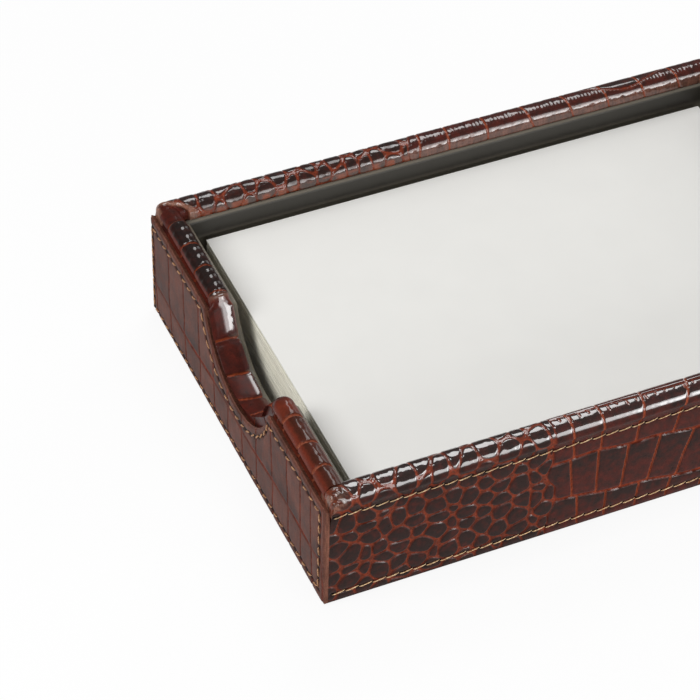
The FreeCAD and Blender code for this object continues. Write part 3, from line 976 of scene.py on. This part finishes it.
def end_wall(name, side, path, grooves, seed, material):
    """Left (-1) or right (1) wall's leather, bent over the crest line."""
    quarter = math.pi / 2
    arcs = [(END_RIM_R, 0.0, quarter), (END_RIM_R, quarter, 2 * quarter)]
    inward, height, turn, along = bent_section(-END_RIM_R, arcs, -SKIRT, -SKIRT, -SKIRT - 1.0)
    inward = inward * END_WALL_T / inward[-1]
    y, z, facing, distance, depth = path(HEIGHT)
    u, v = np.meshgrid(distance, along - along.max() / 2, indexing="ij")
    inward, height, turn = (part[None] + 0 * u for part in (inward, height, turn))
    over = np.abs(np.sin(turn))
    outer, inner = np.cos(turn) > 0, np.cos(turn) < 0

    # Parts of the left rim
    left = float(side < 0)
    front = left * ramp(u, LEFT_FRONT, 4.0)
    in_notch = left * ramp(u, LEFT_DARK_END, 3.0) * fade(u, LEFT_FRONT, 3.0)
    tuck = left * fade(u, LEFT_TUCK, 1.2)
    dark = left * fade(u, LEFT_DARK_END, 3.0) * (1 - tuck)
    beyond = in_notch * ramp(u, grooves[5], 2.0)
    corner = np.exp(-((u - grooves[4] - 0.8) / 0.8) ** 2) * left * over

    # Scales, grain, and the creases of the dark part
    sway = 0.5 * soft_noise(u, v, 4.0, seed + 5)
    edge, number, _ = belly(u + sway, v, [], [grooves], 0.1)
    rise, groove = emboss(edge, 0.5 + 0.2 * front, 0.35, 0.1 + 0.1 * over)
    grain = 0.05 - 0.035 * in_notch - 0.03 * dark
    rise = rise + grain * over * soft_noise(u, v, 1.1, seed + 7) * (1 - groove)
    wander = u + 0.3 * v + 0.9 * soft_noise(u, 0 * v, 3.3, seed + 8)
    ridge = (0.5 + 0.5 * np.sin(2 * math.pi * wander / 2.9)) ** 2
    ridge = ridge * smooth(0.75 + 0.6 * soft_noise(u, 0.5 * v, 2.9, seed + 9))
    rise = rise + 0.17 * over * dark * ridge * (1 - groove)
    # The crevice is sunk, and its colour is darkened as painted shade
    crevice = np.exp(-((height + CREVICE_DROP) / CREVICE_WIDTH) ** 2) * outer * (1 - 0.9 * in_notch)
    rise = rise - CREVICE_DEPTH * crevice - CUT_STEP * tuck * over

    # The section, flatter and wider in the notch, along the crest line
    flat = 1 - (NOTCH_FLAT + NOTCH_FLAT_BEYOND * beyond) * in_notch
    up = np.maximum(height, -END_RIM_R) * flat + np.minimum(height + END_RIM_R, 0.0)
    up = np.maximum(up, -np.minimum(depth, SKIRT)[:, None])
    lift = up + rise * np.sin(turn)
    above = ramp(height, -2.2, 0.8) * in_notch
    spread = NOTCH_SPREAD_OUT * smooth(np.cos(turn)) - NOTCH_SPREAD_IN * smooth(-np.cos(turn))
    points = np.stack([
        side * (WALL_X - (inward - rise * np.cos(turn) - above * spread)),
        y[:, None] + lift * np.cos(facing)[:, None],
        z[:, None] + lift * np.sin(facing)[:, None],
    ], axis=-1)
    feet = points[:, [0, -1]]
    feet[..., 1] = LAP_Y * (1 - 2 * distance[:, None] / distance[-1])
    feet[..., 2] = WALL_BOTTOM
    points = np.concatenate([feet[:, :1], points[:, :-1], feet[:, 1:]], axis=1)

    wall = SimpleNamespace(
        u=u, turn=turn, degrees=np.degrees(turn), over=over, outer=outer, inner=inner, front=front, tuck=tuck,
        in_notch=in_notch, dark=dark, beyond=beyond, corner=corner, crevice=crevice, up=up,
    )
    values = {}
    for key, field in end_look(wall, groove, number).items():
        values[key] = with_ends(np.concatenate([field[:, :1], field[:, :-1], field[:, -1:]], axis=1))
    make_piece(name, *loft(points), material, "croc_leather", values=values)


# End panels

def panel_top_line(notched):
    """Places across the panel and heights of its top edge, evenly spaced along that edge."""
    if not notched:
        y = spaced(FACE_Y, -FACE_Y, STEP)
        return y, PANEL_TOP + 0 * y
    legs = notched_line(PANEL_TOP, FACE_Y, PANEL_NOTCH_R, PANEL_CORNER_R, STEP / 2)
    y, z, _ = (np.concatenate(part) for part in zip(*legs))
    return y, z


# Upright grooves across an end panel, and the level one: height, fall to the back and wave. Then the grooves'
# half-width and depth with the rise of the scales, and how far the cut edges are rounded down.
PANEL_GROOVES = np.array([
    -66.0, -58.0, -51.5, -44.6, -36.4, -26.0, -15.5, -5.5, 4.5, 14.0, 24.0, 35.0, 46.0, 57.0, 67.0,
])
PANEL_LINE_Z, PANEL_LINE_FALL = 12.2, 0.03
PANEL_LINE_WAVE, PANEL_LINE_LENGTH = 0.5, 7.0
PANEL_RELIEF = (0.52, 0.22, 0.08)
PANEL_EDGE = 0.4


def end_panel(name, side, notched, seed, material):
    """Flat leather panel on an end, with rounded cut edges, long scales and its seam."""
    y, top = panel_top_line(notched)
    share = np.linspace(0, 1, round((PANEL_TOP - WALL_BOTTOM) / STEP) + 1)
    yy = y[:, None] + 0 * share[None]
    zz = WALL_BOTTOM + (top - WALL_BOTTOM)[:, None] * share[None]
    line = WALL_BOTTOM + PANEL_LINE_Z - PANEL_LINE_FALL * yy
    line = line + PANEL_LINE_WAVE * np.sin(yy / PANEL_LINE_LENGTH)
    rows = [PANEL_GROOVES - 0.8, PANEL_GROOVES]
    edge, number, _ = belly(yy + 0.4 * soft_noise(yy, zz, 6.0, seed), zz, [line], rows, 0.04)
    rise, groove = emboss(edge, *PANEL_RELIEF)
    by_line = np.exp(-((zz - line) / 0.9) ** 2) * smooth(0.6 + soft_noise(yy, 0 * zz, 9.0, seed + 2))
    rise = rise * (1 - 0.5 * by_line)
    groove = groove * (1 - 0.65 * by_line)
    # Darker just above the level groove, in patches
    darker_above_line = smooth(1.0 - (zz - line) / 8.0) * (zz > line)
    darker_above_line = darker_above_line * smooth(0.75 + soft_noise(yy, 0.4 * zz, 3.0, seed + 1))
    base = np.stack([side * END_X + 0 * yy, yy, zz], axis=-1)
    darkening_and_painted_shade, pull = hole_depth(base, panel_seam(side * END_X, notched), *PANEL_SLOT)
    rim = np.minimum(FACE_Y - np.abs(yy), np.minimum(zz - WALL_BOTTOM, top[:, None] - zz))
    inside = smooth(rim / 0.8)
    rise = rise * inside - PANEL_PULL * pull - PANEL_HOLE * darkening_and_painted_shade - PANEL_EDGE * (1 - smooth(rim / 0.7))
    base[..., 0] += side * rise
    back = base[:, [-1, 0]].copy()
    back[..., 0] = side * PANEL_X
    back[:, 0, 2] -= 0.7
    points = np.concatenate([base, back], axis=1)

    looks = {
        "groove": (groove * inside, 0.0),
        "tone": (0.55 + 0.4 * number - 0.7 * darker_above_line, 0.5),
        "wear": (1 - smooth(rim / 0.45), 1.0),
        # Painted shade: the needle slots are made near-black
        "darkening_and_painted_shade": (darkening_and_painted_shade, 0.0),
        "gloss": (0 * darkening_and_painted_shade, 0.0),
        "rust": (0 * darkening_and_painted_shade, 0.0),
    }
    values = {
        key: with_ends(np.concatenate([field, behind + 0 * field[:, :2]], axis=1))
        for key, (field, behind) in looks.items()
    }
    make_piece(name, *loft(points), material, "panel_leather", values=values)


# Sheets: height and length of the top one's faint wave, its mesh, and the thickness of the pile's layers and
# how far each may lie in from the others
SHEET_WAVE = 0.05
SHEET_WAVE_LENGTH = 45.0
SHEET_STEP = 3.0
LAYER_T = 0.1
LAYER_INSET = 0.22


def paper_sheet(low, high, bow, seed):
    """Points and faces of one thin sheet between two corners, with a slight wave."""
    x, y = (spaced(low[k], high[k], SHEET_STEP) for k in range(2))
    xx, yy = np.meshgrid(x, y, indexing="ij")
    wave = bow * soft_noise(xx + 200, yy + 200, SHEET_WAVE_LENGTH, seed)
    upper = np.stack([xx, yy, high[2] - bow + wave], axis=-1)
    lower = np.stack([xx, yy, low[2] + 0 * xx], axis=-1)[:, ::-1]
    return loft(np.concatenate([upper, lower], axis=1))


def sheet_pile(low, high, thickness, seed):
    """Points and faces of a pile of sheets, each a little out of line."""
    draws = np.random.default_rng(seed)
    count = round((high[2] - low[2]) / thickness)
    levels = np.linspace(low[2], high[2], count + 1)
    corner = np.array([[0, 0], [1, 0], [1, 1], [0, 1]])
    points, faces = [], []
    for bottom, top in zip(levels[:-1], levels[1:]):
        inset = draws.uniform(0.0, LAYER_INSET, 4)
        span = np.array([low[:2] + inset[:2], high[:2] - inset[2:]])
        outline = np.stack([span[corner[:, 0], 0], span[corner[:, 1], 1]], axis=-1)
        start = 8 * (len(points) // 2)
        points += [np.column_stack([outline, np.full(4, level)]) for level in (bottom, top)]
        faces += [[start + k, start + (k + 1) % 4, start + 4 + (k + 1) % 4, start + 4 + k] for k in range(4)]
        faces += [[start + 3, start + 2, start + 1, start], [start + 4, start + 5, start + 6, start + 7]]
    return np.concatenate(points), faces


# Build

croc = leather(
    "croc_leather", scale_dark=colour(42, 28, 25), scale_warm=colour(89, 33, 25),
    groove=colour(126, 53, 33), worn_and_reflected=colour(132, 92, 76), shine=0.07, rough=0.32, stain=0.06,
)
panel_hide = leather(
    "panel_leather", scale_dark=colour(60, 40, 36), scale_warm=colour(102, 63, 53),
    groove=colour(126, 62, 49), worn_and_reflected=colour(112, 72, 58), shine=0.06, rough=0.5, stain=0.2,
)
face_thread = thread("face_thread", colour(244, 212, 166), colour(184, 140, 94))
end_thread = thread("end_thread", colour(206, 156, 112), colour(140, 96, 64))
top_paper = paper("sheet_paper", colour(231, 230, 226), colour(229, 228, 224))
# The pile is a warmer cream, and painted lighter than the top sheet as painted light on its sides
pile_paper_with_painted_light = paper("pile_paper_with_painted_light", colour(242, 240, 228), colour(236, 233, 219))

long_wall("front_wall_cover", -1, HIDE_SPLIT_FRONT, 11, croc)
long_wall("back_wall_cover", 1, HIDE_SPLIT_BACK, 23, croc)
end_wall("left_wall_cover", -1, notch_path, LEFT_GROOVES, 37, croc)
right_grooves = groove_places(-4.0, 2 * LAP_Y + 9, (9.6, 10.3, 11.0), 41)
end_wall("right_wall_cover", 1, plain_path, right_grooves, 43, croc)
end_panel("left_end_panel", -1, True, 53, panel_hide)
end_panel("right_end_panel", 1, False, 59, panel_hide)

for wall, side in (("front", -1), ("back", 1)):
    for seam, z in zip(SEAM_LEVELS, SEAM_HEIGHTS):
        stitches = thread_mesh(face_seam(side, z), (0, side, 0), *FACE_STITCH)
        make_piece(wall + "_" + seam + "_stitches", *stitches, face_thread, "thread")
for end, side in (("left", -1), ("right", 1)):
    stitches = thread_mesh(panel_seam(side * END_X, end == "left"), (side, 0, 0), *PANEL_STITCH)
    make_piece(end + "_panel_stitches", *stitches, end_thread, "thread")

make_piece("top_sheet", *paper_sheet(sheet_low, sheet_high, SHEET_WAVE, 3), top_paper, "paper", "top_sheet")
pile = sheet_pile(stack_low, stack_high, LAYER_T, 5)
make_piece("memo_stack", *pile, pile_paper_with_painted_light, "paper", "memo_stack", sharp=20.0)


def paint_nodes(material, nodes):
    """The solids that show as they are take a material."""
    for node in nodes:
        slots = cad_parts[node].data.materials
        slots.clear()
        slots.append(material)


charcoal = colour(47, 44, 39), colour(56, 53, 47)
lining = lining_leather("lining_leather", *charcoal)
end_lining = lining_leather("end_lining_leather", colour(82, 74, 58), colour(102, 92, 72))
floor_lining = lining_leather("floor_lining_leather", *charcoal, standing=False)
pressed_board = fibrous(
    "pressed_board", colour(188, 166, 135), colour(214, 196, 168), noise=(0.8, 5.0, (0.3, 1.0, 1.0)),
    rough=(0.8, 0.92), relief=(0.06, 0.5), Specular_IOR_Level=0.2,
)
felt = fibrous(
    "felt", colour(40, 36, 33), colour(70, 65, 60), noise=(0.35, 6.0), rough=(0.88, 1.0), relief=(0.15, 0.8),
    Specular_IOR_Level=0.15, Sheen_Weight=0.3, Sheen_Roughness=0.5,
)
paint_nodes(lining, ["front_lining", "back_lining"])
paint_nodes(floor_lining, ["floor_lining"])
paint_nodes(end_lining, ["left_lining", "right_lining"])
paint_nodes(pressed_board, ["base_board"] + [w + "_wall_board" for w in ("front", "back", "left", "right")])
paint_nodes(felt, ["base_felt"])

# Studio: a pale floor, an even grey-white surround and soft lamps

FLOOR_SIZE = 6.0
FLOOR_GREYS = (0.9, 0.9, 0.9, 1), (0.92, 0.92, 0.92, 1)
FLOOR_WHITE = 0.9
SURROUND = (0.97, 0.98, 1.0, 1)
SURROUND_STRENGTH = 0.12
TRAY_MIDDLE = Vector((-0.03, 0.0, 0.03))
LAMP_DISTANCE = 0.9

floor_mesh = bpy.data.meshes.new("floor")
corners = [(-1, -1), (1, -1), (1, 1), (-1, 1)]
floor_mesh.from_pydata([(FLOOR_SIZE * x, FLOOR_SIZE * y, 0) for x, y in corners], [], [(0, 1, 2, 3)])
floor_paint = Paint("floor", Roughness=0.9, Specular_IOR_Level=0.1)
floor_paint.set("Base Color", floor_paint.blend(floor_paint.noise(90.0), *FLOOR_GREYS))
floor_paint.show_white(FLOOR_WHITE)
floor_mesh.materials.append(floor_paint.material)
floor = bpy.data.objects.new("floor", floor_mesh)
bpy.context.collection.objects.link(floor)

world = bpy.data.worlds.new("studio")
world.use_nodes = True
background = world.node_tree.nodes["Background"].inputs
background["Color"].default_value = SURROUND
background["Strength"].default_value = SURROUND_STRENGTH
bpy.context.scene.world = world


def softbox(name, direction, size, watts):
    """Rectangular lamp that faces the tray from a direction."""
    lamp = bpy.data.lights.new(name, "AREA")
    lamp.shape = "RECTANGLE"
    lamp.size, lamp.size_y = size
    lamp.energy = watts
    place = bpy.data.objects.new(name, lamp)
    bpy.context.collection.objects.link(place)
    away = Vector(direction).normalized()
    place.location = TRAY_MIDDLE + away * LAMP_DISTANCE
    place.rotation_euler = away.to_track_quat("Z", "Y").to_euler()


softbox("left_key", (-0.69, -0.10, 0.72), (0.44, 0.44), 5.0)
softbox("back_top", (0.30, 0.50, 0.81), (0.32, 0.32), 1.8)
softbox("front_strip", (0.30, -0.94, 0.14), (0.84, 0.30), 3.8)
softbox("back_right", (0.80, 0.50, 0.34), (0.36, 0.36), 1.8)
softbox("right_low", (0.70, -0.70, 0.10), (0.70, 0.22), 2.3)
softbox("overhead", (0.0, 0.0, 1.0), (0.26, 0.26), 1.35)

# Camera: where the photograph was taken from

AZIMUTH = math.radians(-24.97)
ELEVATION = math.radians(43.90)
ROLL = math.radians(1.74)
DISTANCE = 0.79895
LENS = 148.94
SENSOR = 36.0
TARGET = Vector((-0.04518, 0.02259, 0.0006))

camera_data = bpy.data.cameras.new("camera")
camera_data.lens = LENS
camera_data.sensor_width = SENSOR
camera = bpy.data.objects.new("camera", camera_data)
bpy.context.collection.objects.link(camera)
back = Vector((
    math.sin(AZIMUTH) * math.cos(ELEVATION),
    -math.cos(AZIMUTH) * math.cos(ELEVATION),
    math.sin(ELEVATION),
))
level = Vector((0, 0, 1)).cross(back).normalized()
upright = back.cross(level)
across = level * math.cos(ROLL) + upright * math.sin(ROLL)
upward = upright * math.cos(ROLL) - level * math.sin(ROLL)
turned = Matrix((across, upward, back)).transposed().to_4x4()
camera.matrix_world = Matrix.Translation(TARGET + back * DISTANCE) @ turned
bpy.context.scene.camera = camera
bpy.context.scene.view_settings.view_transform = "Standard"
